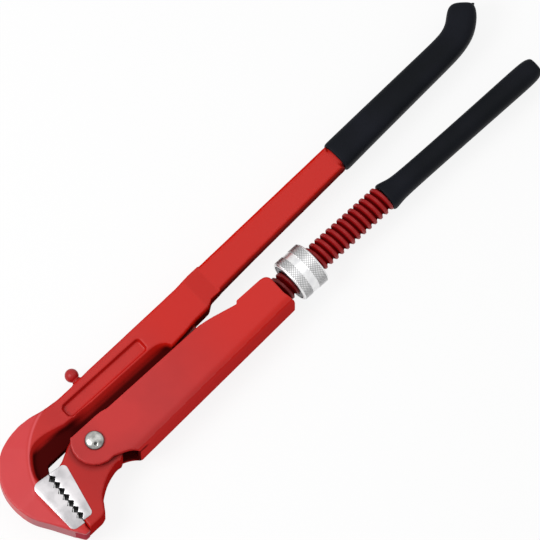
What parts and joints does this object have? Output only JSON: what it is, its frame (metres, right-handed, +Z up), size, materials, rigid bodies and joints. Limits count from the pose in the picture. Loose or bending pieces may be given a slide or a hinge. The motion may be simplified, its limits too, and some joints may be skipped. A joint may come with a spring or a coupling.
{
  "type": "pipe wrench",
  "caption": "Corner pipe wrench with toothed jaws, a sliding casing set by a knurled nut on a threaded rod, and two dipped handles.",
  "frame": {"origin": "middle of the bounding box in X and Y, on the surface that the tool lies on", "axes": "+X from the jaws to the handles along the threaded rod, +Y towards the long arm, +Z up out of the tool's flat side"},
  "size_m": [0.3316, 0.0734, 0.0261],
  "materials": {
    "red_paint": "semi-gloss red enamel over a forging, ground bright on the jaw faces",
    "black_dip": "dipped soft black vinyl, satin",
    "bright_steel": "bright turned steel",
    "spring_steel": "oiled dark steel",
    "zinc_plate": "bright zinc plate over diamond knurling"
  },
  "bodies": {
    "long_arm": {"long_arm": "red_paint", "long_arm_grip": "black_dip", "leaf_spring": "spring_steel", "spring_rivet": "red_paint", "arm_pivot_pin": "bright_steel"},
    "casing": {"casing": "red_paint", "jaw_rivet": "bright_steel"},
    "lower_jaw": {"lower_jaw": "red_paint"},
    "short_arm": {"short_arm": "red_paint", "short_arm_grip": "black_dip"},
    "nut_thrust_ring": {"nut_thrust_ring": "spring_steel"},
    "adjusting_nut": {"adjusting_nut": "zinc_plate"}
  },
  "joints": [
    {"name": "casing_slide", "type": "slide", "parent": "long_arm", "child": "casing", "axis": [1, 0, 0], "range_m": [0, 0.0432]},
    {"name": "jaw_rock", "type": "hinge", "parent": "casing", "child": "lower_jaw", "pos_m": [-0.11714, -0.00664, 0.0118], "axis": [0, 0, 1], "range_deg": [0, 3.5]},
    {"name": "arm_swing", "type": "hinge", "parent": "long_arm", "child": "short_arm", "pos_m": [-0.04724, -0.01384, 0.0118], "axis": [0, 0, 1], "range_deg": [0, 4]},
    {"name": "nut_travel", "type": "slide", "parent": "short_arm", "child": "nut_thrust_ring", "axis": [1, 0, 0], "range_m": [0, 0.04321]},
    {"name": "nut_spin", "type": "hinge", "parent": "nut_thrust_ring", "child": "adjusting_nut", "pos_m": [0.01366, -0.01064, 0.0118], "axis": [1, 0, 0], "range_deg": [0, 4321]}
  ],
  "couplings": [
    {"joint": "nut_travel", "follows": "casing_slide", "ratio": 1},
    {"joint": "nut_spin", "follows": "casing_slide", "rad_per_m": 1745.3}
  ]
}
